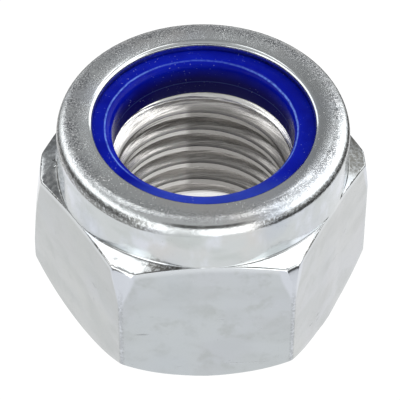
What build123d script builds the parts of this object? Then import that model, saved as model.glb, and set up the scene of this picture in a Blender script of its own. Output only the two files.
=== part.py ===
from build123d import *
from build123d.topology import SkipClean
import math
import os

# Hexagon lock nut with a nylon ring held under a rolled lip, for a thread of 20 mm.
# Millimetres. The thread's axis is Z, and the origin is the middle of the bearing face.

# Thread
thread_diameter = 20.0
thread_pitch = 2.5
thread_flank_angle = 30.0  # between a flank and the plane across the axis
entry_clearance = 0.5  # how far the lower countersink opens past the thread's roots
entry_half_angle = 30.0  # between the lower countersink and the axis
runout_clearance = 0.1  # how far the upper countersink opens past the thread's roots
runout_half_angle = 45.0  # between the upper countersink and the axis

# Hexagon
flat_wall = 5.0  # from the thread's roots to a flat
wrench_height = 16.4  # from the bearing face to the foot of the collar
corner_radius = 0.5  # rounding along the six upright edges
bearing_inset = 0.3  # from a flat to the rim of the bearing face
lower_corner_rise = 2.6  # height that the lower chamfer takes from a corner
lower_corner_bulge = 0.13  # how far that chamfer swells past a straight cone
land_angle = 22.0  # fall of the six top lands from the collar to the corners
corner_setback = 0.82  # how far a corner leans in where it meets its land
corner_fade_height = 8.0  # height over which a corner leans in
corner_fade_bulge = 0.07  # how far the leaning corner swells past a straight cone

# Collar and lip
collar_inset = 0.3  # from a flat to the side of the collar
collar_height = 6.0
collar_wall = 2.4  # between the side of the collar and the pocket
collar_edge_radius = 1.5
collar_foot_radius = 0.3
lip_overhang = 1.25  # how far the lip reaches in over the ring
lip_fall = 0.2  # from the crown of the lip down to its inner edge
lip_edge_thickness = 0.95
lip_edge_radius = 0.5

# Nylon ring
ring_height = 4.3
ring_bore_clearance = 0.5  # from the thread's crests to the bore of the ring
ring_clearance = 0.05  # round the ring and under the lip
ring_edge_radius = 0.9  # at the top of the bore
ring_foot_radius = 0.25  # at the bottom of the bore
pocket_corner_radius = 0.6

# The thread's groove is a triangle of this height, cut short at its crests and roots.
sharp_height = thread_pitch / (2 * math.tan(math.radians(thread_flank_angle)))
crest_width = thread_pitch / 4
root_width = thread_pitch / 8
thread_depth = sharp_height * (thread_pitch - crest_width - root_width) / thread_pitch
root_radius = thread_diameter / 2
crest_radius = root_radius - thread_depth

# Hexagon and collar
flat_radius = root_radius + flat_wall
corner_line_radius = flat_radius / math.cos(math.radians(30))
bearing_radius = flat_radius - bearing_inset
collar_radius = flat_radius - collar_inset
nut_height = wrench_height + collar_height

# A land falls from the foot of the collar, and the corner below it fades into an upright line.
land_edge_radius = corner_line_radius - corner_setback
land_fall = (land_edge_radius - collar_radius) * math.tan(math.radians(land_angle))
land_edge_height = wrench_height - land_fall
corner_fade_start = land_edge_height - corner_fade_height

# Lip, pocket and ring
pocket_radius = collar_radius - collar_wall
lip_radius = pocket_radius - lip_overhang
crown_radius = collar_radius - collar_edge_radius
lip_edge_height = nut_height - lip_fall
lip_underside_height = lip_edge_height - lip_edge_thickness
ring_top_height = lip_underside_height - ring_clearance
seat_height = ring_top_height - ring_height
ring_radius = pocket_radius - ring_clearance
ring_bore_radius = crest_radius + ring_bore_clearance
ring_corner_radius = pocket_corner_radius - ring_clearance

# The blank's bore is a little under the thread's crests, and the cuts of the thread open it out.
bore_stock = 0.4
blank_radius = crest_radius - bore_stock
entry_radius = root_radius + entry_clearance
entry_height = (entry_radius - blank_radius) / math.tan(math.radians(entry_half_angle))
runout_radius = root_radius + runout_clearance
runout_depth = (runout_radius - blank_radius) / math.tan(math.radians(runout_half_angle))

# One turn of the groove between the crests. Its profile starts inside the bore, clear of the crests.
groove_inset = 0.2
groove_width = thread_pitch - crest_width + 2 * groove_inset * math.tan(math.radians(thread_flank_angle))
groove_start = -thread_pitch
groove_turns = math.ceil((seat_height - groove_start) / thread_pitch) + 1
with BuildPart() as groove:
    with BuildLine() as helix:
        Helix(pitch=thread_pitch, height=thread_pitch, radius=crest_radius, center=(0, 0, groove_start))
    with BuildSketch(Plane.XZ):
        with BuildLine():
            Polyline(
                (crest_radius - groove_inset, groove_start - groove_width / 2),
                (root_radius, groove_start - root_width / 2),
                (root_radius, groove_start + root_width / 2),
                (crest_radius - groove_inset, groove_start + groove_width / 2),
                close=True,
            )
        make_face()
    sweep(path=helix.wire(), is_frenet=True)

# Nut body: a section turned round the axis and kept within the hexagon
with BuildPart() as nut_body:
    with BuildSketch(Plane.XZ) as section:
        with BuildLine():
            Line((entry_radius, 0), (bearing_radius, 0))
            SagittaArc((bearing_radius, 0), (corner_line_radius, lower_corner_rise), lower_corner_bulge)
            Line((corner_line_radius, lower_corner_rise), (corner_line_radius, corner_fade_start))
            SagittaArc(
                (corner_line_radius, corner_fade_start),
                (land_edge_radius, land_edge_height),
                corner_fade_bulge,
            )
            Polyline(
                (land_edge_radius, land_edge_height),
                (collar_radius, wrench_height),
                (collar_radius, nut_height - collar_edge_radius),
            )
            TangentArc(
                (collar_radius, nut_height - collar_edge_radius),
                (crown_radius, nut_height),
                tangent=(0, 1),
            )
            TangentArc((crown_radius, nut_height), (lip_radius, lip_edge_height), tangent=(-1, 0))
            Polyline(
                (lip_radius, lip_edge_height),
                (lip_radius, lip_underside_height),
                (pocket_radius, lip_underside_height),
                (pocket_radius, seat_height),
                (runout_radius, seat_height),
                (blank_radius, seat_height - runout_depth),
                (blank_radius, entry_height),
                (entry_radius, 0),
            )
        make_face()
        foot = section.vertices().sort_by_distance((collar_radius, wrench_height))[0]
        fillet(foot, radius=collar_foot_radius)
        lip_corner = section.vertices().sort_by_distance((lip_radius, lip_edge_height))[0]
        fillet(lip_corner, radius=lip_edge_radius)
        pocket_corner = section.vertices().sort_by_distance((pocket_radius, lip_underside_height))[0]
        fillet(pocket_corner, radius=pocket_corner_radius)
    revolve(axis=Axis.Z)
    with BuildSketch() as hexagon:
        RegularPolygon(radius=flat_radius, side_count=6, major_radius=False)
        fillet(hexagon.vertices(), radius=corner_radius)
    extrude(amount=nut_height, mode=Mode.INTERSECT)
    # The crests lie on a bore that is opened a sixth of a turn at a time, so that every turn's
    # crest is six short bands. The groove then goes through, one cut for each turn.
    with SkipClean():
        for sixth in range(6):
            with BuildSketch(Plane.XY.rotated((0, 0, 60 * sixth))):
                with BuildLine():
                    rim = CenterArc((0, 0), crest_radius, start_angle=0, arc_size=60)
                    Polyline(rim @ 1, (0, 0), rim @ 0)
                make_face()
            extrude(amount=seat_height, mode=Mode.SUBTRACT)
        with Locations(*[(0, 0, turn * thread_pitch) for turn in range(groove_turns)]):
            add(groove.part, mode=Mode.SUBTRACT)

# Nylon ring: it stands on the seat above the thread and fills the pocket under the lip
with BuildPart() as nylon_ring:
    with BuildSketch(Plane.XZ) as ring_section:
        with BuildLine():
            Polyline(
                (ring_bore_radius, seat_height),
                (ring_radius, seat_height),
                (ring_radius, ring_top_height),
                (ring_bore_radius, ring_top_height),
                close=True,
            )
        make_face()
        ring_corner = ring_section.vertices().sort_by_distance((ring_radius, ring_top_height))[0]
        fillet(ring_corner, radius=ring_corner_radius)
        ring_edge = ring_section.vertices().sort_by_distance((ring_bore_radius, ring_top_height))[0]
        fillet(ring_edge, radius=ring_edge_radius)
        ring_foot = ring_section.vertices().sort_by_distance((ring_bore_radius, seat_height))[0]
        fillet(ring_foot, radius=ring_foot_radius)
    revolve(axis=Axis.Z)

nut_body.part.label = "nut_body"
nylon_ring.part.label = "nylon_ring"

os.makedirs("parts", exist_ok=True)
export_step(nut_body.part, "parts/nut_body.step")
export_step(nylon_ring.part, "parts/nylon_ring.step")
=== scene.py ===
import math
import bpy
import numpy as np
from mathutils import Matrix, Vector


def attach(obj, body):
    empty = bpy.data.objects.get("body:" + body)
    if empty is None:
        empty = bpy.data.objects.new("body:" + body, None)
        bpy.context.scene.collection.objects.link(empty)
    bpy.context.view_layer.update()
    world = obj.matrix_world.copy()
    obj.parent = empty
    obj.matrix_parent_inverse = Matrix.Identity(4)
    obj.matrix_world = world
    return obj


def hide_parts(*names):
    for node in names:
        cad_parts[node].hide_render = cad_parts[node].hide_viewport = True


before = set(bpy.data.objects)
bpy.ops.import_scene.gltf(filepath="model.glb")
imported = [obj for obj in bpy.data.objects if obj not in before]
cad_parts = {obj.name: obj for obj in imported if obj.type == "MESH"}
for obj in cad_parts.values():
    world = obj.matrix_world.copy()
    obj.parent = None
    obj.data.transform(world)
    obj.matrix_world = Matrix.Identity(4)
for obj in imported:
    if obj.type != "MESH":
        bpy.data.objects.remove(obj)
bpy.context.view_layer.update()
print("frame loaded")

mm = 0.001
halfSide = math.pi / 6           # from a corner of a hexagon to the middle of a side, seen from its centre
white = (1, 1, 1, 1)
scene = bpy.context.scene


def linear(hexColour):
    # sRGB hex, such as "a0a4aa", to a linear colour
    shares = [int(hexColour[i:i + 2], 16) / 255 for i in (0, 2, 4)]
    return tuple(s / 12.92 if s <= 0.04045 else ((s + 0.055) / 1.055) ** 2.4 for s in shares) + (1.0,)


def add(tree, kind, inputs=None, **settings):
    # one node: its settings by name, and for each socket a value or the socket that feeds it
    node = tree.nodes.new(kind)
    for name, value in settings.items():
        setattr(node, name, value)
    for name, value in (inputs or {}).items():
        if isinstance(value, bpy.types.NodeSocket):
            tree.links.new(value, node.inputs[name])
        else:
            node.inputs[name].default_value = value
    return node


def result(tree, kind, *values, output=0, **settings):
    # the output of a new node whose inputs are given in order; a kind in capitals is an arithmetic operation,
    # and a sum or a maximum takes any count of values
    if kind in ("ADD", "MAXIMUM") and len(values) > 2:
        values = (result(tree, kind, *values[:-1]), values[-1])
    if kind.isupper():
        kind, settings = "ShaderNodeMath", {"operation": kind}
    return add(tree, kind, dict(enumerate(values)), **settings).outputs[output]


def product(tree, *factors):
    # numbers and sockets multiplied
    share = factors[0]
    for factor in factors[1:]:
        share = result(tree, "MULTIPLY", share, factor)
    return share


# shape of the steel body, in millimetres
nutShape = {
    "flatRadius": 15.0,  # axis to flat
    "hexagonShift": (-0.26, 0.31),  # the hexagon was forged a little off the collar's axis
    "edgeRadius": 0.55,  # upright edges
    "bearingRadius": 14.7,
    "lowerEnd": (17.92, 3.194),  # radius and height where the lower chamfer's line ends, past the corners
    "lowerBulge": 0.182,
    "leanStart": (17.321, 7.6),  # the corners lean in above this height
    "leanBulge": 0.07,
    "leanLead": 6,  # the leaning line's straight start below it
    "landEdgeRadius": 16.5,
    "landEdgeHeight": 15.643,
    "landEdgeReach": 0.35,  # rows are close to each other within this reach of the land's edge
    "leastLand": 0.04,  # land that the flare always leaves
    "footHeight": 16.4,
    "collarRadius": 14.7,
    "height": 22.4,
    "rollStart": 12.8,  # where the lip's top begins to roll over into the collar
    "rollEnd": 20.5,  # height at which it reaches the collar's side
    # three uneven places: direction and spread in degrees, and depth
    "wideRoll": (-28, 36, 0.6),  # the roll begins further in on one side
    "wideMouth": (-72, 62, 0.42),  # the mouth over the ring was rolled less far in at the front
    "flare": (210, 20, 0.375),  # the collar's foot swells out to the left flat
    "footRounding": 0.14,
    "lipRadius": 11.05,
    "lipHeight": 22.31,  # top of the lip where its rounded inner edge begins
    "lipRounding": 0.5,
    "lipRoundingStart": 94,  # degrees from the outward direction
    "lipUnderside": 21.25,
    "lipCorner": 0.06,  # softening of the lip's lower edge
    "pocketRadius": 12.3,
    "pocketRounding": 0.6,
    "seatHeight": 16.9,
    "entryRadius": 10.5,
    "runoutRadius": 10.1,
    "rimInset": 0.2,  # the softened rim of the bearing face, inwards and upwards
    "rimRise": 0.15,
    "softness": 0.16,  # reach of the softening along the forged edges
    "roundingAngle": 0.018,  # half the angle that an upright edge's rounding takes, seen from the axis
    "meetingAngle": 0.010,  # columns are finest this close to where a corner's lean meets a flat
}
# columns from a corner to the middle of a flat: its rounding, up to the meeting, across it, and the rest
nutColumns = {"rounding": 5, "before": 5, "meeting": 7, "after": 9, "crowding": 1.5}
# rows of points in each stretch of a column, and the first shares of the collar's height, which are close
nutRows = {
    "bearing": 6, "rim": 4, "chamfer": 7, "lowerBreak": 5, "flat": 14, "upperBreak": 6, "lean": 9, "landEdge": 9,
    "land": 6, "foot": 5, "collar": 8, "roll": 24, "fall": 7, "lipEdge": 10, "lipSide": 4, "lipCorner": 3,
    "underside": 3, "pocketCorner": 6, "pocketWall": 4, "seat": 4,
    "collarStart": (0, 0.02, 0.05, 0.12),
}
# where a stretch is narrow, its softened parts take no more (the lean and the land's edge no less) than these shares
narrowShares = {"break": 0.25, "fillet": 0.2, "chamferBreak": 0.7, "rim": 0.2, "lean": 0.15, "landEdge": 0.2}
denseCount = 200                 # points on the lines that columns are cut from
overlapCount = 12                # points on each side of the land's edge that its softening replaces
hexagonTries = 40                # steps in which a column's reach settles


def hexagonRadius(angles, shape):
    # distance from the thread's axis to the hexagon's rounded outline in each direction
    flat, rounding = shape["flatRadius"], shape["edgeRadius"]
    arcCentre = (flat - rounding) / math.cos(halfSide)
    arcHalf = math.atan2(rounding / 2, arcCentre + rounding * math.cos(halfSide))
    reach = np.full(angles.shape, flat)
    directions = np.stack([np.cos(angles), np.sin(angles)], axis=-1)
    for _ in range(hexagonTries):
        point = directions * reach[:, None] - np.array(shape["hexagonShift"])
        turn = np.arctan2(point[:, 1], point[:, 0])
        distance = np.hypot(point[:, 0], point[:, 1])
        fromCorner = (turn + halfSide) % (2 * halfSide) - halfSide
        toFlat = flat / np.cos(halfSide - np.abs(fromCorner))
        inside = np.clip(rounding ** 2 - (arcCentre * np.sin(fromCorner)) ** 2, 0, None)
        toRounding = arcCentre * np.cos(fromCorner) + np.sqrt(inside)
        reach += np.where(np.abs(fromCorner) < arcHalf, toRounding, toFlat) - distance
    return reach


def columnAngles(shape, counts):
    # even angles for both mouths of the bore, and columns crowded at each corner and where its lean meets the flats
    tip = (shape["flatRadius"] - shape["edgeRadius"]) / math.cos(halfSide) + shape["edgeRadius"]
    bounds = []
    for k in range(12):
        # corners and middles of the flats by turns
        reach = tip if k % 2 == 0 else shape["flatRadius"]
        x, y = reach * np.array([math.cos(k * halfSide), math.sin(k * halfSide)]) + shape["hexagonShift"]
        bounds.append(math.atan2(y, x) % (2 * math.pi) if k else math.atan2(y, x))
    bounds.append(bounds[0] + 2 * math.pi)
    rounding, half = shape["roundingAngle"], shape["meetingAngle"]
    crowded = []
    for k in range(12):
        corner, middle = (bounds[k], bounds[k + 1]) if k % 2 == 0 else (bounds[k + 1], bounds[k])
        way, span = math.copysign(1, middle - corner), abs(middle - corner)
        dense = np.linspace(0, span, 2 * denseCount)
        reaches = hexagonRadius(corner + way * dense, shape)
        meeting = float(np.interp(-shape["landEdgeRadius"], -reaches, dense))
        rest = np.linspace(0, 1, counts["after"])[1:] ** counts["crowding"]
        steps = np.concatenate([
            np.linspace(0, rounding, counts["rounding"]),
            np.linspace(rounding, meeting - half, counts["before"])[1:],
            np.linspace(meeting - half, meeting + half, counts["meeting"])[1:],
            meeting + half + (span - meeting - half) * rest,
        ])
        ordered = corner + way * steps if k % 2 == 0 else (corner + way * steps)[::-1]
        crowded.extend(ordered[:-1])
    count = len(crowded)
    return np.arange(count) * 2 * math.pi / count, np.array(crowded)


def straight(start, end, count):
    t = np.linspace(0, 1, count)[:, None]
    return (1 - t) * np.array(start, float) + t * np.array(end, float)


def bend(start, corner, end, count):
    # a soft corner: points along a parabola from start to end
    t = np.linspace(0, 1, count)[:, None]
    return (1 - t) ** 2 * start + 2 * t * (1 - t) * corner + t ** 2 * end


def onCircle(centre, radius, turns):
    return np.stack([centre[0] + radius * np.cos(turns), centre[1] + radius * np.sin(turns)], axis=-1)


def rounded(centre, radius, fromDegrees, toDegrees, count):
    return onCircle(centre, radius, np.radians(np.linspace(fromDegrees, toDegrees, count)))


def arcRound(centre, start, end, count):
    # the short way round a centre from start to end
    first, last = (math.atan2(*(point - centre)[::-1]) for point in (start, end))
    last = first + math.remainder(last - first, 2 * math.pi)
    return onCircle(centre, np.hypot(*(start - centre)), np.linspace(first, last, count))


def bulgedArc(start, end, bulge, count):
    # an arc from start to end that swells to the right of the way by the bulge
    start, end = np.array(start, float), np.array(end, float)
    chord = end - start
    half = np.hypot(*chord) / 2
    radius = (half ** 2 + bulge ** 2) / (2 * bulge)
    side = np.array([chord[1], -chord[0]]) / (2 * half)
    return arcRound((start + end) / 2 - side * (radius - bulge), start, end, count)


def tangentArc(start, end, way, count):
    # an arc from start to end that leaves start along way
    start, end = np.array(start, float), np.array(end, float)
    normal = np.array([-way[1], way[0]], float)
    chord = end - start
    return arcRound(start + normal * (chord @ chord) / (2 * (chord @ normal)), start, end, count)


def lengthsAlong(line):
    return np.concatenate([[0], np.cumsum(np.hypot(*np.diff(line, axis=0).T))])


def along(line, lengths):
    # points at the given lengths along a dense line
    return np.stack([np.interp(lengths, lengthsAlong(line), line[:, k]) for k in (0, 1)], axis=-1)


def cut(line, limit):
    # length along a line at which its radius reaches the limit
    order = np.argsort(line[:, 0])
    return float(np.interp(limit, line[order, 0], lengthsAlong(line)[order]))


def swell(angle, place):
    # depth of an uneven place in one direction
    direction, spread, depth = place
    away = (math.degrees(angle) - direction + 180) % 360 - 180
    return depth * math.exp(-(away / spread) ** 2)


def outerLines(shape):
    # dense lines (radius, height) of the lower chamfer, and of the leaning corner with the land above it
    landEdge = (shape["landEdgeRadius"], shape["landEdgeHeight"])
    lower = bulgedArc((shape["bearingRadius"], 0), shape["lowerEnd"], shape["lowerBulge"], denseCount)
    lean = bulgedArc(shape["leanStart"], landEdge, shape["leanBulge"], denseCount)
    down = (lean[0] - lean[1]) / np.hypot(*(lean[0] - lean[1]))
    lead = lean[0] + down * np.linspace(shape["leanLead"], 0, denseCount // 5)[:-1, None]
    land = straight(landEdge, (shape["collarRadius"], shape["footHeight"]), denseCount)
    softened = bend(lean[-overlapCount], lean[-1], land[overlapCount], 2 * overlapCount)
    return lower, np.concatenate([lead, lean[:-overlapCount], softened, land[overlapCount + 1:]])


def outsideColumn(shape, rows, lower, upper, reach, angle):
    # one column's section from the lower mouth of the thread to the top of the collar's side
    soft, collar, inner = shape["softness"], shape["collarRadius"], shape["bearingRadius"] - shape["rimInset"]
    lowerCut, upperCut, landEdge = cut(lower, reach), cut(upper, reach), cut(upper, shape["landEdgeRadius"])
    flare = min(swell(angle, shape["flare"]), max(reach - collar - shape["leastLand"], 0))
    ending = cut(upper, collar + flare)
    foot, upperBreak, lowerBreak = along(upper, [ending])[0], along(upper, [upperCut])[0], along(lower, [lowerCut])[0]
    wide = ending - upperCut
    lowerStart = lowerCut - min(soft, narrowShares["chamferBreak"] * lowerCut)
    rim = min(shape["rimRise"], narrowShares["rim"] * lowerCut)
    bendLength = min(soft, narrowShares["break"] * wide)
    fillet = min(shape["footRounding"], narrowShares["fillet"] * wide)
    begin, end = upperCut + bendLength, ending - fillet
    edgeStart = max(landEdge - shape["landEdgeReach"], begin + narrowShares["lean"] * (end - begin))
    edgeEnd = max(landEdge + shape["landEdgeReach"], edgeStart + narrowShares["landEdge"] * (end - begin))
    closeRows = rows["collarStart"]
    rise = np.concatenate([closeRows[:-1], np.linspace(closeRows[-1], 1, rows["collar"])])
    sideFoot = foot[1] + fillet
    side = np.stack([collar + flare * (1 - rise) ** 2, sideFoot + (shape["rollEnd"] - sideFoot) * rise], axis=-1)
    return np.concatenate([
        straight((shape["entryRadius"], 0), (inner, 0), rows["bearing"]),
        bend((inner, 0), lower[0], along(lower, [rim])[0], rows["rim"])[1:],
        along(lower, np.linspace(rim, lowerStart, rows["chamfer"]))[1:],
        bend(along(lower, [lowerStart])[0], lowerBreak, lowerBreak + [0, soft], rows["lowerBreak"])[1:],
        straight(lowerBreak + [0, soft], upperBreak - [0, bendLength], rows["flat"])[1:],
        bend(upperBreak - [0, bendLength], upperBreak, along(upper, [begin])[0], rows["upperBreak"])[1:],
        along(upper, np.linspace(begin, edgeStart, rows["lean"]))[1:],
        along(upper, np.linspace(edgeStart, edgeEnd, rows["landEdge"]))[1:],
        along(upper, np.linspace(edgeEnd, end, rows["land"]))[1:],
        bend(along(upper, [end])[0], foot, foot + [0, fillet], rows["foot"])[1:],
        side[1:],
    ])


def lipColumn(shape, rows, angle):
    # the rest of the column: over the lip, down the pocket's wall and along the seat to the thread
    height, edge, rounding = shape["height"], shape["lipHeight"], shape["lipRounding"]
    under, corner, pocketCorner = shape["lipUnderside"], shape["lipCorner"], shape["pocketRounding"]
    collar, pocket, seat = shape["collarRadius"], shape["pocketRadius"], shape["seatHeight"]
    crown = shape["rollStart"] - swell(angle, shape["wideRoll"])
    lip = shape["lipRadius"] + swell(angle, shape["wideMouth"])
    edgeCentre = (lip + rounding, edge - rounding)
    return np.concatenate([
        bend((collar, shape["rollEnd"]), (collar, height), (crown, height), rows["roll"])[1:],
        tangentArc((crown, height), (lip + rounding, edge), (-1, 0), rows["fall"])[1:-1],
        rounded(edgeCentre, rounding, shape["lipRoundingStart"], 180, rows["lipEdge"]),
        straight((lip, edge - rounding), (lip, under + corner), rows["lipSide"])[1:],
        bend((lip, under + corner), (lip, under), (lip + corner, under), rows["lipCorner"])[1:],
        straight((lip + corner, under), (pocket - pocketCorner, under), rows["underside"])[1:],
        rounded((pocket - pocketCorner, under - pocketCorner), pocketCorner, 90, 0, rows["pocketCorner"])[1:],
        straight((pocket, under - pocketCorner), (pocket, seat), rows["pocketWall"])[1:],
        straight((pocket, seat), (shape["runoutRadius"], seat), rows["seat"])[1:],
    ])


def shellSections(shape, rows, angles):
    lower, upper = outerLines(shape)
    reaches = hexagonRadius(angles, shape)
    return np.array([
        np.concatenate([outsideColumn(shape, rows, lower, upper, reach, angle), lipColumn(shape, rows, angle)])
        for reach, angle in zip(reaches, angles)
    ])


def turned(radii, heights, angles):
    # points in metres from radii and heights in millimetres
    return np.stack(np.broadcast_arrays(radii * np.cos(angles), radii * np.sin(angles), heights), axis=-1) * mm


def gridFaces(columns, rows, closed=False):
    # quads between neighbouring columns of points, closed round the axis, and along each column where asked
    j, i = np.meshgrid(np.arange(columns), np.arange(rows if closed else rows - 1), indexing="ij")
    nextColumn, nextRow = (j + 1) % columns, (i + 1) % rows
    corners = [j * rows + i, nextColumn * rows + i, nextColumn * rows + nextRow, j * rows + nextRow]
    return np.stack(corners, axis=-1).reshape(-1, 4)


def meshObject(name, points, faces, material):
    mesh = bpy.data.meshes.new(name)
    mesh.from_pydata(points.reshape(-1, 3).tolist(), [], faces.tolist())
    mesh.materials.append(material)
    mesh.shade_smooth()
    piece = bpy.data.objects.new(name, mesh)
    scene.collection.objects.link(piece)
    return piece


zincPlate = bpy.data.materials.new("brightZincPlateOnForgedSteel")
tappedSteel = bpy.data.materials.new("tappedThreadThinlyPlated")
blueNylon = bpy.data.materials.new("mouldedBlueNylon")

evenAngles, crowdedAngles = columnAngles(nutShape, nutColumns)
sections = shellSections(nutShape, nutRows, crowdedAngles)
rowCount = sections.shape[1]
# columns are even at both mouths of the bore and crowded on the outside; bearing face and seat lead over
fromMouth = np.arange(rowCount) / (nutRows["bearing"] - 1)
fromSeat = (rowCount - 1 - np.arange(rowCount)) / (nutRows["seat"] - 1)
crowding = np.clip(np.minimum(fromMouth, fromSeat), 0, 1)
angles = evenAngles[:, None] * (1 - crowding) + crowdedAngles[:, None] * crowding
shellPoints = turned(sections[:, :, 0], sections[:, :, 1], angles)
nutBody = meshObject("nutBody", shellPoints, gridFaces(len(evenAngles), rowCount), zincPlate)
print("outside of the nut:", len(nutBody.data.polygons), "faces")

# the bore between the two mouths, wound by Geometry Nodes
threadShape = {
    "Pitch": 2.5 * mm,
    "Crest Radius": 8.647 * mm,
    "Depth": 1.353 * mm,
    "Height": 16.9 * mm,
    "First Crest": -1.25 * mm,   # height of a crest at angle zero
    "Entry Radius": 10.5 * mm,
    "Entry Slope": 0.5774,       # radius lost per height in the lower countersink
    "Runout Radius": 10.1 * mm,
    "Runout Slope": 1.0,
    "Turns": 9,
    "Rows Per Turn": 32,
    "Columns": len(evenAngles),  # as many as the outside has
}
# one pitch of the thread: share of the pitch and share of the depth
threadProfile = [(0.0, 0.0), (0.125, 0.0), (0.4375, 1.0), (0.5625, 1.0), (0.875, 0.0), (1.0, 0.0)]
weldDistance = 0.0015 * mm       # joins the grid's own edges, and the bore to the outside


def boreTree(material):
    tree = bpy.data.node_groups.new("threadedBore", "GeometryNodeTree")
    tree.interface.new_socket("Geometry", in_out="INPUT", socket_type="NodeSocketGeometry")
    for name, value in threadShape.items():
        kind = "NodeSocketInt" if isinstance(value, int) else "NodeSocketFloat"
        tree.interface.new_socket(name, in_out="INPUT", socket_type=kind).default_value = value
    tree.interface.new_socket("Geometry", in_out="OUTPUT", socket_type="NodeSocketGeometry")
    given = add(tree, "NodeGroupInput").outputs
    columns = result(tree, "ADD", given["Columns"], 1)
    rows = result(tree, "ADD", product(tree, given["Turns"], given["Rows Per Turn"]), 1)
    grid = add(tree, "GeometryNodeMeshGrid", {"Size X": 1.0, "Size Y": 1.0, "Vertices X": columns, "Vertices Y": rows})
    spot = add(tree, "ShaderNodeSeparateXYZ", {"Vector": add(tree, "GeometryNodeInputPosition").outputs[0]}).outputs
    around = result(tree, "ADD", spot["X"], 0.5)
    upward = product(tree, result(tree, "ADD", spot["Y"], 0.5), given["Turns"])
    # a right-handed thread rises by one pitch as the angle goes once round
    wound = product(tree, result(tree, "SUBTRACT", result(tree, "ADD", upward, around), 1.0), given["Pitch"])
    above = result(tree, "MAXIMUM", result(tree, "ADD", wound, given["First Crest"]), 0.0)
    height = result(tree, "MINIMUM", above, given["Height"])
    profile = add(tree, "ShaderNodeFloatCurve", {"Value": result(tree, "FRACT", upward)})
    points = profile.mapping.curves[0].points
    for x, y in threadProfile[1:-1]:
        points.new(x, y)
    for point, (x, y) in zip(points, threadProfile):
        point.location = (x, y)
        point.handle_type = "VECTOR"
    profile.mapping.update()
    thread = result(tree, "MULTIPLY_ADD", profile.outputs[0], given["Depth"], given["Crest Radius"])
    entry = result(tree, "SUBTRACT", given["Entry Radius"], product(tree, height, given["Entry Slope"]))
    below = result(tree, "SUBTRACT", given["Height"], height)
    runout = result(tree, "SUBTRACT", given["Runout Radius"], product(tree, below, given["Runout Slope"]))
    radius = result(tree, "MAXIMUM", thread, entry, runout)
    turn = product(tree, around, 2 * math.pi)
    x, y = (product(tree, radius, result(tree, wave, turn)) for wave in ("COSINE", "SINE"))
    place = add(tree, "ShaderNodeCombineXYZ", {"X": x, "Y": y, "Z": height})
    wall = add(tree, "GeometryNodeSetPosition", {"Geometry": grid.outputs["Mesh"], "Position": place.outputs[0]})
    inward = add(tree, "GeometryNodeFlipFaces", {"Mesh": wall.outputs[0]})
    smooth = add(tree, "GeometryNodeSetShadeSmooth", {"Geometry": inward.outputs[0]})
    marked = add(tree, "GeometryNodeStoreNamedAttribute",
                 {"Geometry": smooth.outputs[0], "Name": "bore", "Value": True}, data_type="BOOLEAN", domain="FACE")
    joined = add(tree, "GeometryNodeJoinGeometry")
    tree.links.new(marked.outputs[0], joined.inputs[0])
    tree.links.new(given["Geometry"], joined.inputs[0])
    merged = add(tree, "GeometryNodeMergeByDistance", {"Geometry": joined.outputs[0], "Distance": weldDistance})
    real = add(tree, "GeometryNodeRealizeInstances", {"Geometry": merged.outputs[0]})
    isBore = add(tree, "GeometryNodeInputNamedAttribute", {"Name": "bore"}, data_type="BOOLEAN")
    finish = add(tree, "GeometryNodeSetMaterial",
                 {"Geometry": real.outputs[0], "Selection": isBore.outputs["Attribute"], "Material": material})
    add(tree, "NodeGroupOutput", {"Geometry": finish.outputs[0]})
    return tree


def wind(piece, tree, values):
    # runs the tree on the piece with these values and keeps the result as its plain mesh
    modifier = piece.modifiers.new(tree.name, "NODES")
    modifier.node_group = tree
    for item in tree.interface.items_tree:
        if item.in_out == "INPUT" and item.name in values:
            modifier[item.identifier] = values[item.name]
    made = bpy.data.meshes.new_from_object(piece.evaluated_get(bpy.context.evaluated_depsgraph_get()))
    piece.modifiers.remove(modifier)
    piece.data = made


wind(nutBody, boreTree(tappedSteel), threadShape)
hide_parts("nut_body")
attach(nutBody, "root")
print("nut with its thread:", len(nutBody.data.polygons), "faces")

# nylon ring, in millimetres
ringShape = {
    "boreRadius": 9.147,
    "outerRadius": 12.25,
    "foot": 16.9,
    "top": 21.2,
    "edgeRounding": 0.9,
    "toeRounding": 0.25,         # at the foot of the bore
    "heelSoftness": 0.05,        # at the foot of the outer wall
    "shoulderRounding": 0.55,
}
ringColumns = 240
ringRows = {"foot": 4, "heel": 3, "wall": 4, "shoulder": 7, "top": 9, "edge": 14, "bore": 16, "toe": 5}


def ringSection(shape, rows):
    bore, outer, foot, top = shape["boreRadius"], shape["outerRadius"], shape["foot"], shape["top"]
    edge, toe, shoulder = shape["edgeRounding"], shape["toeRounding"], shape["shoulderRounding"]
    heel = shape["heelSoftness"]
    return np.concatenate([
        straight((bore + toe, foot), (outer, foot), rows["foot"])[:-1],
        bend((outer - heel, foot), (outer, foot), (outer, foot + heel), rows["heel"]),
        straight((outer, foot + heel), (outer, top - shoulder), rows["wall"])[1:],
        rounded((outer - shoulder, top - shoulder), shoulder, 0, 90, rows["shoulder"])[1:],
        straight((outer - shoulder, top), (bore + edge, top), rows["top"])[1:],
        rounded((bore + edge, top - edge), edge, 90, 180, rows["edge"])[1:],
        straight((bore, top - edge), (bore, foot + toe), rows["bore"])[1:],
        rounded((bore + toe, foot + toe), toe, 180, 270, rows["toe"])[1:-1],
    ])


ringRadii, ringHeights = ringSection(ringShape, ringRows).T
ringAngles = np.arange(ringColumns)[:, None] * 2 * math.pi / ringColumns
ringFaces = gridFaces(ringColumns, len(ringRadii), closed=True)
lockRing = meshObject("lockRing", turned(ringRadii, ringHeights, ringAngles), ringFaces, blueNylon)
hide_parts("nylon_ring")
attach(lockRing, "root")
print("ring:", len(lockRing.data.polygons), "faces")


def emptyTree(owner):
    owner.use_nodes = True
    owner.node_tree.nodes.clear()
    return owner.node_tree


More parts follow.
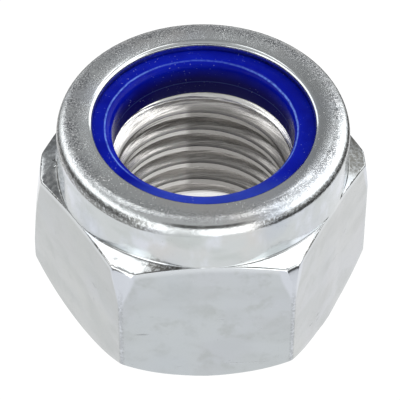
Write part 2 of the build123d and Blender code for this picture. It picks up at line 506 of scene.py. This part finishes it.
def fromUpright(tree, place, aside=0.0):
    # distance from an upright line that stands this far to the left of the axis
    flat = result(tree, "ShaderNodeVectorMath", place, (1, 1, 0), (aside, 0, 0), operation="MULTIPLY_ADD")
    return result(tree, "ShaderNodeVectorMath", flat, output="Value", operation="LENGTH")


def startMaterial(material):
    # an emptied tree, the piece's own coordinates in millimetres, whole and in parts, and the distance from the axis
    tree = emptyTree(material)
    metres = add(tree, "ShaderNodeTexCoord").outputs["Object"]
    place = result(tree, "ShaderNodeVectorMath", metres, (1 / mm,) * 3, operation="MULTIPLY")
    spot = add(tree, "ShaderNodeSeparateXYZ", {0: place}).outputs
    return tree, place, spot, fromUpright(tree, place)


def finishMaterial(tree, tone, gloss, height, settings):
    # height is a relief in millimetres
    relief = add(tree, "ShaderNodeBump", {"Height": height, "Distance": mm, "Strength": 1.0})
    given = {"Base Color": tone, "Roughness": gloss, "Normal": relief.outputs[0]}
    shader = add(tree, "ShaderNodeBsdfPrincipled", {**given, **settings})
    add(tree, "ShaderNodeOutputMaterial", {"Surface": shader.outputs[0]})


def toolsFor(tree, look, place=None):
    # masks and layers of colour by the names that the look gives them
    def mask(name, value=None, at=place):
        # the given value, or else a noise by its grain, taken between limits where the look has steps of that name
        if value is None:
            size, detail, roughness, *stretch = look["grains"][name]
            if stretch:
                at = result(tree, "ShaderNodeVectorMath", at, *stretch, operation="MULTIPLY")
            grain = {"Vector": at, "Scale": 1 / size, "Detail": detail, "Roughness": roughness}
            value = add(tree, "ShaderNodeTexNoise", grain).outputs["Fac"]
        if name not in look["steps"]:
            return value
        limits = look["steps"][name]
        steps = limits if isinstance(limits[0], tuple) else (limits,)
        return product(tree, *(result(tree, "ShaderNodeMapRange", value, *step, interpolation_type="SMOOTHSTEP")
                               for step in steps))

    def paint(below, above, *shares):
        # lays one tone over another, to the product of the shares; a tone is a colour's name or a socket
        below, above = (linear(look["colours"][t]) if isinstance(t, str) else t for t in (below, above))
        layers = {0: product(tree, *shares), 6: below, 7: above}
        return add(tree, "ShaderNodeMix", layers, data_type="RGBA").outputs[2]

    return mask, paint


# In the looks below colours are sRGB and lengths are millimetres. A grain is a noise's size, detail and roughness,
# and its stretch where it has one. A step is the limits between which a share goes from none to all, or the
# limits and then both shares, and two steps are multiplied. X is right, Y is back and Z is up.

# bright zinc: electroplated over forged steel, cool white, glossy where the dies were smooth and frosted where
# the lip was rolled
zincLook = {
    "colours": {
        "plate": "c6cacb", "cool": "bdc3cb", "warm": "cac9c7", "worn": "96999b",
        "sideFlat": "b8bab9", "frontFlat": "babfc2", "violet": "b9bcc6", "smudge": "a3a7a6",
        "softEdge": "dfe3e6",  # painted highlight along the flats' upper edge
        "wallPale": "d8dce6", "wallGrey": "b4bab8",  # clouds on the collar's side
        "frostDark": "6e7276", "frostBright": "eceef0", "glint": "ffffff",
        "corner": "c9cdd4",  # the leaning corners are painted a lighter, faintly blue tone
        "scale": "5a5a57",  # forging scale left under the plate, also used for painted shade along the lands' edges and under the lip's bend
        "land": "7c7f81",  # painted shade: the rear lands are painted darker than the front ones
    },
    "gloss": 0.12,
    "frostedGloss": 0.22,
    "glossAdded": {"fine": 0.08, "marks": 0.25, "glints": 0.4},
    "relief": {"frost": 0.026, "fine": 0.0035, "waves": 0.03, "marks": 0.012, "dents": 0.07},
    "shares": {"smudge": 0.62, "shade": 0.45, "flat": 0.8, "softEdge": 0.5, "rightLipShade": 0.55, "landDullness": 0.4,
               "edgeWear": 0.55, "specks": 0.6, "scratches": 0.8},
    "grains": {
        "cloud": (6.0, 3.0, 0.5), "hueCloud": (9.0, 2.0, 0.5, (1, 1, 0.7)),
        "broad": (4.5, 2.0, 0.5, (0.7, 0.7, 1.5)), "wallPale": (2.6, 3.0, 0.55, (1, 1, 0.6)),
        "patches": (1.6, 3.0, 0.6), "fine": (0.5, 4.0, 0.65), "smudge": (2.2, 5.0, 0.62),
        "crystals": (0.15, 3.0, 0.7),  # of the frosted zinc, drawn twice as coarse as real so that they show
        "glints": (0.18, 2.0, 0.5),
        "waves": (3.0, 2.0, 0.5),  # of the relief, and where the glints gather
        "scale": (0.35, 4.0, 0.75), "crease": (0.4, 3.0, 0.7),
        "scuff": (0.30, 4.0, 0.8), "frontLine": (0.4, 4.0, 0.75),
        "edgeWear": (0.3, 3.0, 0.7), "specks": (0.22, 2.0, 0.6),
        "scratchLines": (3.2, 1.0, 0.5), "scratchBreaks": (2.6, 2.0, 0.5),
        "dents": (0.8, 5.0, 0.72),  # left by the rolling tool along the lip's outer bend
    },
    "steps": {
        # which part of the nut: by height, distance from the axis and where the surface faces
        "facingUp": (0.72, 0.93), "facingSideways": (0.3, 0.1),
        "facingLeft": (-0.6, -0.8), "facingFront": (-0.7, -0.95),
        "lipHeight": (20.0, 21.0), "outsideMouth": (11.35, 11.75), "wallFoot": (16.5, 16.8),
        "underFoot": (17.5, 17.0), "hexagonTop": (16.5, 16.3), "rearY": (-8.0, -3.0),
        # the near end of the right rear land is brighter than the rest
        "brightEndX": (10.0, 12.0), "brightEndY": (-1.4, -3.0, 0.0, 0.6),
        # clouds of the plate; painted shade darkens the left flat upwards, and the front flat is calmer
        "hue": (0.35, 0.65), "plate": (0.3, 0.6), "violet": (0.42, 0.68, 0.0, 0.5),
        "smudge": (0.48, 0.70), "smudgeCloud": (0.35, 0.6, 0.4, 1.0), "shadeHeight": (5.0, 14.0),
        "flatCloud": (0.44, 0.66, 0.0, 0.5), "calmFront": (-0.95, -0.7, 0.45, 1.0),
        "wallPale": (0.42, 0.66, 0.0, 0.6), "wallGrey": (0.50, 0.34, 0.0, 0.5),
        "softEdge": (0.95, 0.2),
        # frost, strongest where the lip bends over, weaker towards the ring and smoother in front; painted shade
        # darkens the lip on the right
        "sparkle": (0.42, 0.62), "frostPatches": (0.38, 0.58, 0.3, 1.0), "frostRelief": (0.3, 0.7, 0.5, 1.2),
        "towardsRim": (12.1, 13.3, 0.2, 1.0), "behindFront": (-11.5, -4.0, 0.3, 1.0),
        "smoother": (-11.0, -5.0, 0.12, 1.0), "greyerX": (7.0, 11.5), "greyerRadius": (13.2, 12.4),
        "glints": (0.67, 0.72), "glintClusters": (0.45, 0.6),
        # scale on the lands, the rear lands' painted shade, and painted shade along the lands' edges
        "landFine": (0.7, 0.4, 0.5, 1.0), "frontEdgeY": (-12.0, -13.0), "leftPatchX": ((-6.8, -5.6), (-2.0, -3.4)),
        "rightLandX": (8.0, 10.0), "rightLandY": (-5.5, -2.0), "scale": (0.40, 0.56, 0.45, 1.0),
        "creaseFacing": ((0.12, 0.30), (0.90, 0.80)), "creaseSides": (0.80, 0.62),
        "creaseHeight": (15.7, 15.95), "crease": (0.38, 0.52, 0.3, 1.0),
        # the painted dark reflection under the lip's bend: its foot rises to the right; wide left, narrower right,
        # faint in front
        "scuffFoot": (-9.0, 3.0, 20.3, 20.85), "scuffStart": (0.0, 0.15), "scuffTop": (21.75, 21.5),
        "scuffLeft": (-4.0, -7.0, 0.12, 0.85), "scuffRight": (3.0, 5.5, 0.0, 0.75), "scuff": (0.40, 0.54, 0.3, 1.0),
        "frontLineX": (4.2, 2.6), "frontLineHeight": ((21.64, 21.72), (21.95, 21.87)),
        "frontLine": (0.38, 0.52, 0.25, 0.75),
        # upright edges: angles from a corner, in radians
        "edgeAngle": (0.022, 0.010), "edgeHeight": (14.0, 10.0), "edgeWear": (0.4, 0.56),
        "leanHalf": (10.0, 15.8, 0.006, 0.085), "leanEdge": (0.012, -0.012), "leanFacing": (0.35, 0.2),
        # marks and dents
        "specks": (0.68, 0.74), "speckPatches": (0.42, 0.58),
        "scratchLine": (0.006, 0.002), "scratchBreaks": (0.58, 0.66),
        "bendRadius": (13.0, 13.5), "bendHeight": (20.4, 21.2),
    },
    "edgeTop": 22.339,            # height of the flats' upper edge less its fall with the distance from the axis
    "edgeFall": 0.404,
    "raggedReach": 3.0,           # how far the fine grain moves the borders of a patch of scale
    "frontLineShift": 0.2,
    "scratchLevel": 0.56,         # scratches follow this level of their noise
    "scratchTilt": (0, math.radians(17), math.radians(8)),
    "scratchStretch": (0.12, 0.12, 1.0),
}


def plateSteel(material, look, shape):
    tree, place, spot, fromAxis = startMaterial(material)
    mask, paint = toolsFor(tree, look, place)
    shares, relief, added = look["shares"], look["relief"], look["glossAdded"]
    facing = add(tree, "ShaderNodeSeparateXYZ", {0: add(tree, "ShaderNodeTexCoord").outputs["Normal"]}).outputs
    facingUp, facingSideways = mask("facingUp", facing["Z"]), mask("facingSideways", facing["Z"])
    frosted = product(tree, facingUp, mask("lipHeight", spot["Z"]), mask("outsideMouth", fromAxis))
    onAnyLand = product(tree, facingUp, mask("underFoot", spot["Z"]))
    brightEnd = product(tree, mask("brightEndX", spot["X"]), mask("brightEndY", spot["Y"]))
    onRearLand = product(tree, onAnyLand, mask("rearY", spot["Y"]), result(tree, "SUBTRACT", 1.0, brightEnd))
    onHexagon = mask("hexagonTop", spot["Z"])
    onFlat = product(tree, onHexagon, facingSideways)
    onWall = product(tree, mask("wallFoot", spot["Z"]), facingSideways)
    cloud, hueCloud, broad, fine = mask("cloud"), mask("hueCloud"), mask("broad"), mask("fine")
    crystals, patches, waves = mask("crystals"), mask("patches"), mask("waves")

    tone = paint("cool", "warm", mask("hue", hueCloud))
    tone = paint(tone, "plate", mask("plate", cloud))
    flatTone = paint("sideFlat", "frontFlat", mask("facingFront", facing["Y"]))
    flatTone = paint(flatTone, "violet", mask("violet", hueCloud))
    smudged = mask("smudge")
    flatTone = paint(flatTone, "smudge", smudged, mask("smudgeCloud", cloud), shares["smudge"])
    # painted shade: the left flat is painted darker upwards
    shaded = mask("shadeHeight", spot["Z"])
    flatTone = paint(flatTone, "smudge", shaded, mask("facingLeft", facing["X"]), shares["shade"])
    flatTone = paint(flatTone, "smudge", mask("flatCloud", broad), mask("calmFront", facing["Y"]))
    tone = paint(tone, "wallPale", onWall, mask("wallPale"))
    tone = paint(tone, "wallGrey", onWall, mask("wallGrey", broad))
    tone = paint(tone, flatTone, onFlat, shares["flat"])

    # under the lands the flats' upper edge is softened, and a painted highlight makes it lighter
    edgeHeight = result(tree, "SUBTRACT", look["edgeTop"], product(tree, fromAxis, look["edgeFall"]))
    underEdge = result(tree, "SUBTRACT", edgeHeight, spot["Z"])
    tone = paint(tone, "softEdge", mask("softEdge", underEdge), onFlat, shares["softEdge"])

    rough = product(tree, frosted, mask("towardsRim", fromAxis), mask("behindFront", spot["Y"]))
    frostTone = paint("frostDark", "frostBright", mask("sparkle", crystals))
    tone = paint(tone, frostTone, rough, mask("frostPatches", patches))
    # painted shade: the frosted lip is painted darker on its right side
    rightLipShade = product(tree, mask("greyerX", spot["X"]), mask("greyerRadius", fromAxis))
    tone = paint(tone, "worn", frosted, rightLipShade, shares["rightLipShade"])
    # painted shade darkens the rear lands, broken by a fine grain
    tone = paint(tone, "land", onRearLand, mask("landFine", fine))

    # scale shows on the right rear land and in one small patch on the left front land
    ragged = result(tree, "ADD", spot["X"], product(tree, result(tree, "SUBTRACT", fine, 0.5), look["raggedReach"]))
    leftPatch = product(tree, mask("leftPatchX", ragged), mask("frontEdgeY", spot["Y"]))
    rightDepth = result(tree, "SUBTRACT", mask("rightLandY", spot["Y"]), brightEnd)
    patch = result(tree, "MAXIMUM", leftPatch, product(tree, mask("rightLandX", spot["X"]), rightDepth))
    landScale = product(tree, patch, onAnyLand, mask("scale"))
    # and painted shade, grainy like the scale, darkens the edges between the lands and the side flats
    sides = mask("creaseSides", result(tree, "ABSOLUTE", facing["Y"]))
    crease = product(tree, mask("creaseFacing", facing["Z"]), onHexagon, sides)
    crease = product(tree, crease, mask("crease"), mask("creaseHeight", spot["Z"]))
    tone = paint(tone, "scale", result(tree, "MAXIMUM", landScale, crease))

    # a grainy dark reflection is painted where the lip's bend runs into the collar's side, and a thin one in front
    aboveFoot = result(tree, "SUBTRACT", spot["Z"], mask("scuffFoot", spot["X"]))
    scuff = product(tree, mask("scuffStart", aboveFoot), mask("scuffTop", spot["Z"]), mask("scuff"))
    strength = result(tree, "ADD", mask("scuffLeft", spot["X"]), mask("scuffRight", spot["X"]))
    fromFront = result(tree, "ABSOLUTE", result(tree, "ADD", spot["X"], look["frontLineShift"]))
    inFront = product(tree, mask("frontLineX", fromFront), mask("frontEdgeY", spot["Y"]))
    frontLine = product(tree, mask("frontLineHeight", spot["Z"]), inFront, mask("frontLine"))
    tone = paint(tone, "scale", result(tree, "MAXIMUM", product(tree, scuff, strength), frontLine))

    # the leaning corners, a wedge that widens upwards
    shiftX, shiftY = shape["hexagonShift"]
    fromMiddle = result(tree, "SUBTRACT", spot["X"], shiftX), result(tree, "SUBTRACT", spot["Y"], shiftY)
    fromCorner = result(tree, "PINGPONG", result(tree, "ARCTAN2", *fromMiddle[::-1]), halfSide)
    outsideLean = result(tree, "SUBTRACT", fromCorner, mask("leanHalf", spot["Z"]))
    tone = paint(tone, "corner", mask("leanEdge", outsideLean), onHexagon, mask("leanFacing", facing["Z"]))

    # the upright edges were rubbed by the tumbling drum, with a few specks elsewhere
    rubbed = product(tree, mask("edgeAngle", fromCorner), mask("edgeHeight", spot["Z"]))
    edgeWear = product(tree, rubbed, mask("edgeWear"), shares["edgeWear"])
    specks = product(tree, mask("specks"), mask("speckPatches", patches), shares["specks"])
    # a few long shallow scratches: thin level lines of a stretched noise, broken by a second noise
    tilted = {"Vector": place, "Rotation": look["scratchTilt"], "Scale": look["scratchStretch"]}
    scratchNoise = mask("scratchLines", at=add(tree, "ShaderNodeMapping", tilted).outputs[0])
    scratchLine = result(tree, "ABSOLUTE", result(tree, "SUBTRACT", scratchNoise, look["scratchLevel"]))
    scratches = product(tree, mask("scratchLine", scratchLine), mask("scratchBreaks"))
    scratches = product(tree, scratches, onHexagon, shares["scratches"])
    marks = result(tree, "MAXIMUM", edgeWear, specks, scratches)
    tone = paint(tone, "worn", marks)
    glints = product(tree, mask("glints"), mask("glintClusters", waves), frosted)
    tone = paint(tone, "glint", glints)

    smoothFrost = product(tree, frosted, mask("smoother", spot["Y"]))
    dull = result(tree, "MAXIMUM", smoothFrost, product(tree, onRearLand, shares["landDullness"]))
    gloss = result(tree, "ADD", product(tree, dull, look["frostedGloss"] - look["gloss"]), look["gloss"],
                   product(tree, fine, added["fine"]), product(tree, marks, added["marks"]),
                   product(tree, glints, added["glints"]))
    onBend = product(tree, mask("bendRadius", fromAxis), mask("bendHeight", spot["Z"]))
    frostHeight = product(tree, crystals, smoothFrost, mask("frostRelief", patches), relief["frost"])
    height = result(tree, "ADD", frostHeight, product(tree, fine, relief["fine"]),
                    product(tree, waves, relief["waves"]), product(tree, mask("dents"), onBend, relief["dents"]))
    height = result(tree, "SUBTRACT", height, product(tree, marks, relief["marks"]))
    finishMaterial(tree, tone, gloss, height, {"Metallic": 1.0})


plateSteel(zincPlate, zincLook, nutShape)

# tapped thread: tool marks run round it, its thin plate is worn grey on crests and flanks, and painted light makes its
# roots near white
threadLook = {
    "colours": {
        # painted light: the roots are painted near white, lifting the shade deep in the thread
        "crest": "94928f", "flank": "989693", "root": "f0eeec", "toolMark": "8a8885",
        "brightSide": "dad8d5",  # painted light: the left of the bore is painted brighter
        "mouth": "e8e8e6",  # both countersinks are cut smooth, and a painted reflection makes them bright
    },
    "gloss": 0.16,
    "glossAdded": {"wear": 0.12, "burr": 0.35},
    "toolMarkShare": 0.45,
    "toolMarkDepth": 0.03,
    "grains": {"toolMarks": (1.0, 3.0, 0.6, (0.25, 0.25, 7.0)), "wear": (1.2, 3.0, 0.6)},
    "steps": {
        "root": (8.9, 9.95), "crest": (8.72, 8.66), "brightSide": (-0.75, -1.6, 0.0, 0.62),
        "upperMouth": (15.4, 15.7), "lowerMouth": (1.9, 1.5), "toolMarked": (0.50, 0.68),
        "burr": ((8.655, 8.70), (8.95, 8.80)),   # just behind the crests
    },
}


def tapSteel(material, look):
    tree, place, spot, fromAxis = startMaterial(material)
    mask, paint = toolsFor(tree, look, place)
    toolMarks, added = mask("toolMarks"), look["glossAdded"]
    tone = paint("flank", "root", mask("root", fromAxis))
    tone = paint(tone, "crest", mask("crest", fromAxis))
    tone = paint(tone, "brightSide", mask("brightSide", spot["X"]))
    # painted reflection brightens both countersinks
    mouths = result(tree, "MAXIMUM", mask("upperMouth", spot["Z"]), mask("lowerMouth", spot["Z"]))
    tone = paint(tone, "mouth", mouths)
    tone = paint(tone, "toolMark", mask("toolMarked", toolMarks), look["toolMarkShare"])
    worn, burred = product(tree, mask("wear"), added["wear"]), product(tree, mask("burr", fromAxis), added["burr"])
    gloss = result(tree, "ADD", worn, look["gloss"], burred)
    finishMaterial(tree, tone, gloss, product(tree, toolMarks, look["toolMarkDepth"]), {"Metallic": 1.0})


tapSteel(tappedSteel, threadLook)

# nylon 66: injection moulded, deep blue with a soft gloss; a painted highlight runs pale along the bore's edge, and
# painted shade darkens the bore itself
nylonLook = {
    "colours": {"blue": "030f92", "cloudy": "081aa6", "deep": "04025a", "rubbed": "6a8ce6", "dust": "c8d2f0"},
    "gloss": 0.16,
    "rippleGloss": 0.10,
    "rippleDepth": 0.006,
    "shares": {"parting": 0.12, "nearTop": 0.16, "dust": 0.35},
    "grains": {
        "cloud": (2.5, 3.0, 0.5), "ripple": (0.35, 3.0, 0.6), "waver": (1.5, 3.0, 0.5),
        "dust": (0.16, 1.0, 0.5),  # drawn coarser than real so that it shows
    },
    "steps": {
        "cloudy": (0.3, 0.7), "deep": (21.0, 18.7), "parting": (0.09, 0.03),
        # painted light: the near side of the ring's top is painted a little lighter
        "nearY": (-6.5, -9.5), "topHeight": (20.2, 20.8),
        "dust": (0.72, 0.76), "dustClusters": (0.45, 0.6),
        "lineRipple": (0.3, 0.6, 0.4, 1.0), "lineSides": (3.0, 8.5, 0.35, 1.0), "lineBack": (-8.0, -4.5, 0.1, 1.0),
        "line": ((9.54, 9.62), (9.78, 9.68)),   # distance of the painted highlight line from its centre
    },
    "lineAside": 0.2,             # the line's centre is this far to the left of the axis
    "lineWaver": 0.12,
    "partingHeight": 18.6,        # the mould's parting line, a little below the middle of the bore
    "surface": {"IOR": 1.53, "Specular IOR Level": 0.06, "Subsurface Weight": 0.04,
                "Subsurface Radius": (0.2, 0.25, 1.0), "Subsurface Scale": 0.4 * mm},
}


def mouldNylon(material, look):
    tree, place, spot, _ = startMaterial(material)
    mask, paint = toolsFor(tree, look, place)
    shares, cloud, ripple = look["shares"], mask("cloud"), mask("ripple")
    tone = paint("blue", "cloudy", mask("cloudy", cloud))
    # painted shade darkens the bore towards its foot
    tone = paint(tone, "deep", mask("deep", spot["Z"]))
    fromParting = result(tree, "ABSOLUTE", result(tree, "SUBTRACT", spot["Z"], look["partingHeight"]))
    tone = paint(tone, "rubbed", mask("parting", fromParting), shares["parting"])
    # painted light on the near side of the ring's top, and a painted highlight along the bore's edge
    tone = paint(tone, "rubbed", mask("nearY", spot["Y"]), mask("topHeight", spot["Z"]), shares["nearTop"])
    waver = product(tree, result(tree, "SUBTRACT", mask("waver"), 0.5), look["lineWaver"])
    line = mask("line", result(tree, "ADD", fromUpright(tree, place, look["lineAside"]), waver))
    sides = mask("lineSides", result(tree, "ABSOLUTE", spot["X"]))
    tone = paint(tone, "rubbed", line, mask("lineRipple", ripple), sides, mask("lineBack", spot["Y"]))
    tone = paint(tone, "dust", mask("dust"), mask("dustClusters", cloud), shares["dust"])
    gloss = result(tree, "ADD", product(tree, ripple, look["rippleGloss"]), look["gloss"])
    finishMaterial(tree, tone, gloss, product(tree, ripple, look["rippleDepth"]), look["surface"])


mouldNylon(blueNylon, nylonLook)
print("materials ready")

# floor: a round table of white glass, lit from below; millimetres
floorLook = {"radius": 600, "height": -0.1, "corners": 96, "glass": "303030", "glow": 1.02, "spill": 0.20}
table = bpy.data.materials.new("opalGlassLitFromBelow")
turns = np.arange(floorLook["corners"]) * 2 * math.pi / floorLook["corners"]
rim = turned(floorLook["radius"], floorLook["height"], turns)
meshObject("floor", rim, np.arange(floorLook["corners"])[None, :], table)
tree = emptyTree(table)
# the glass shows white in the picture and in the metal, and sheds a little light on dull things
plain = add(tree, "ShaderNodeBsdfDiffuse", {"Color": linear(floorLook["glass"])})
rays = add(tree, "ShaderNodeLightPath")
seen = result(tree, "MAXIMUM", rays.outputs["Is Camera Ray"], rays.outputs["Is Glossy Ray"])
strength = result(tree, "ADD", product(tree, seen, floorLook["glow"] - floorLook["spill"]), floorLook["spill"])
glow = add(tree, "ShaderNodeEmission", {"Color": white, "Strength": strength})
both = add(tree, "ShaderNodeAddShader", {0: plain.outputs[0], 1: glow.outputs[0]})
add(tree, "ShaderNodeOutputMaterial", {"Surface": both.outputs[0]})

# light: soft panels on both sides and overhead, and a plain grey room
# turn is the direction seen from above (0 is +X, 90 is +Y) and height the angle above the floor, both in degrees,
# width and height of the panel are in metres, level is the brightness that a mirror would show
panelDistance = 0.5
panelAim = (0, 0, 0.015)
softPanels = {
    "leftLow": {"turn": 174, "height": 20, "wide": 1.0, "tall": 0.28, "level": 1.6},
    "leftHigh": {"turn": 162, "height": 65, "wide": 0.15, "tall": 0.24, "level": 1.8},
    "rightMain": {"turn": 9.5, "height": 24, "wide": 0.84, "tall": 0.44, "level": 2.0},
    "rightHigh": {"turn": 6, "height": 65, "wide": 0.13, "tall": 0.25, "level": 2.2},
    "rightBack": {"turn": 57, "height": 53, "wide": 0.13, "tall": 0.11, "level": 2.6},
}


def direction(turnDegrees, heightDegrees):
    turn, height = math.radians(turnDegrees), math.radians(heightDegrees)
    return Vector((math.cos(height) * math.cos(turn), math.cos(height) * math.sin(turn), math.sin(height)))


for name, panel in softPanels.items():
    lamp = bpy.data.lights.new(name, "AREA")
    lamp.shape = "RECTANGLE"
    lamp.size, lamp.size_y = panel["wide"], panel["tall"]
    # an area light's brightness is its power over pi times its area
    lamp.energy = panel["level"] * math.pi * panel["wide"] * panel["tall"]
    toPanel = direction(panel["turn"], panel["height"])
    holder = bpy.data.objects.new(name, lamp)
    holder.location = toPanel * panelDistance + Vector(panelAim)
    holder.rotation_euler = toPanel.to_track_quat("Z", "Y").to_euler()
    scene.collection.objects.link(holder)

# cards stood round the nut out of the picture draw the dark and white bands along the collar's upper edge
# turns and levels as above, millimetres
cards = {
    "rightCard": {"radius": 38, "foot": 0.5, "top": 14.5, "from": -57, "to": 90, "level": 0.10},
    "leftCard": {"radius": 44, "foot": 0.5, "top": 15.5, "from": 90, "to": 226, "level": 0.26},
    "frontCard": {"radius": 50, "foot": 30, "top": 44, "from": -114, "to": -70, "level": 0.02},
    "whiteLeft": {"radius": 44, "foot": 0.5, "top": 29, "from": -134, "to": -113, "level": 2.6},
    "whiteRight": {"radius": 44, "foot": 0.5, "top": 29, "from": -93, "to": -56, "level": 2.6},
}
cardColumns = 40
cardFaces = np.array([(i, i + 1, cardColumns + 1 + i, cardColumns + i) for i in range(cardColumns - 1)])
for name, card in cards.items():
    paper = bpy.data.materials.new(name)
    turns = np.radians(np.linspace(card["from"], card["to"], cardColumns))
    points = turned(card["radius"], [[card["foot"]], [card["top"]]], turns)
    holder = meshObject(name, points, cardFaces, paper)
    holder.visible_camera = False
    holder.visible_diffuse = False
    holder.visible_shadow = False
    tree = emptyTree(paper)
    shown = add(tree, "ShaderNodeEmission", {"Color": white, "Strength": card["level"]})
    add(tree, "ShaderNodeOutputMaterial", {"Surface": shown.outputs[0]})

roomLook = {
    "steps": {
        "room": (0.7, 0.95, 0.44, 0.38),   # brightness of the room, which is darker straight overhead
        "stripY": (-0.35, -0.6), "stripZ": (0.24, 0.12),
        "fillY": (0.02, -0.22), "fillZ": (0.45, 0.7),
    },
    "frontStrip": 1.5,            # a bright strip low in front, under the front card, keeps the collar's foot light
    "frontFill": 0.22,            # and the room is a little lighter high in front
}
world = bpy.data.worlds.new("studio")
scene.world = world
tree = emptyTree(world)
way = add(tree, "ShaderNodeSeparateXYZ", {0: add(tree, "ShaderNodeTexCoord").outputs["Generated"]}).outputs
mask, _ = toolsFor(tree, roomLook)
strip = product(tree, mask("stripY", way["Y"]), mask("stripZ", way["Z"]), roomLook["frontStrip"])
fill = product(tree, mask("fillY", way["Y"]), mask("fillZ", way["Z"]), roomLook["frontFill"])
level = result(tree, "ADD", mask("room", way["Z"]), strip, fill)
room = add(tree, "ShaderNodeBackground", {"Color": white, "Strength": level})
# the camera sees a white background
back = add(tree, "ShaderNodeBackground", {"Color": white, "Strength": 1.0})
rays = add(tree, "ShaderNodeLightPath")
sky = add(tree, "ShaderNodeMixShader", {0: rays.outputs["Is Camera Ray"], 1: room.outputs[0], 2: back.outputs[0]})
add(tree, "ShaderNodeOutputWorld", {"Surface": sky.outputs[0]})
print("floor and light ready")

# millimetres and degrees; the lens and its sensor as on a camera, and clip in metres
cameraView = {
    "target": (0.0, 0.0, 9.9),
    "elevation": 46.53,
    "turn": -92.852,             # direction from the nut to the camera, seen from above
    "distance": 265.99,
    "aside": 0.2885,             # the nut stands this far right of the picture's middle
    "raised": -0.4268,
    "roll": -0.2846,
    "lens": 232.4925,
    "sensor": 36,
    "clip": (0.01, 20),
}


def aim(view):
    camera = bpy.data.objects.new("camera", bpy.data.cameras.new("camera"))
    toCamera, roll = direction(view["turn"], view["elevation"]), math.radians(view["roll"])
    levelRight = Vector((0, 0, 1)).cross(toCamera).normalized()
    levelUp = toCamera.cross(levelRight)
    right = levelRight * math.cos(roll) - levelUp * math.sin(roll)
    up = levelRight * math.sin(roll) + levelUp * math.cos(roll)
    place = Vector(view["target"]) + toCamera * view["distance"] - right * view["aside"] - up * view["raised"]
    camera.matrix_world = Matrix.Translation(place * mm) @ Matrix((right, up, toCamera)).transposed().to_4x4()
    camera.data.lens = view["lens"]
    camera.data.sensor_width = view["sensor"]
    camera.data.clip_start, camera.data.clip_end = view["clip"]
    scene.collection.objects.link(camera)
    scene.camera = camera


aim(cameraView)
scene.view_settings.view_transform = "Standard"
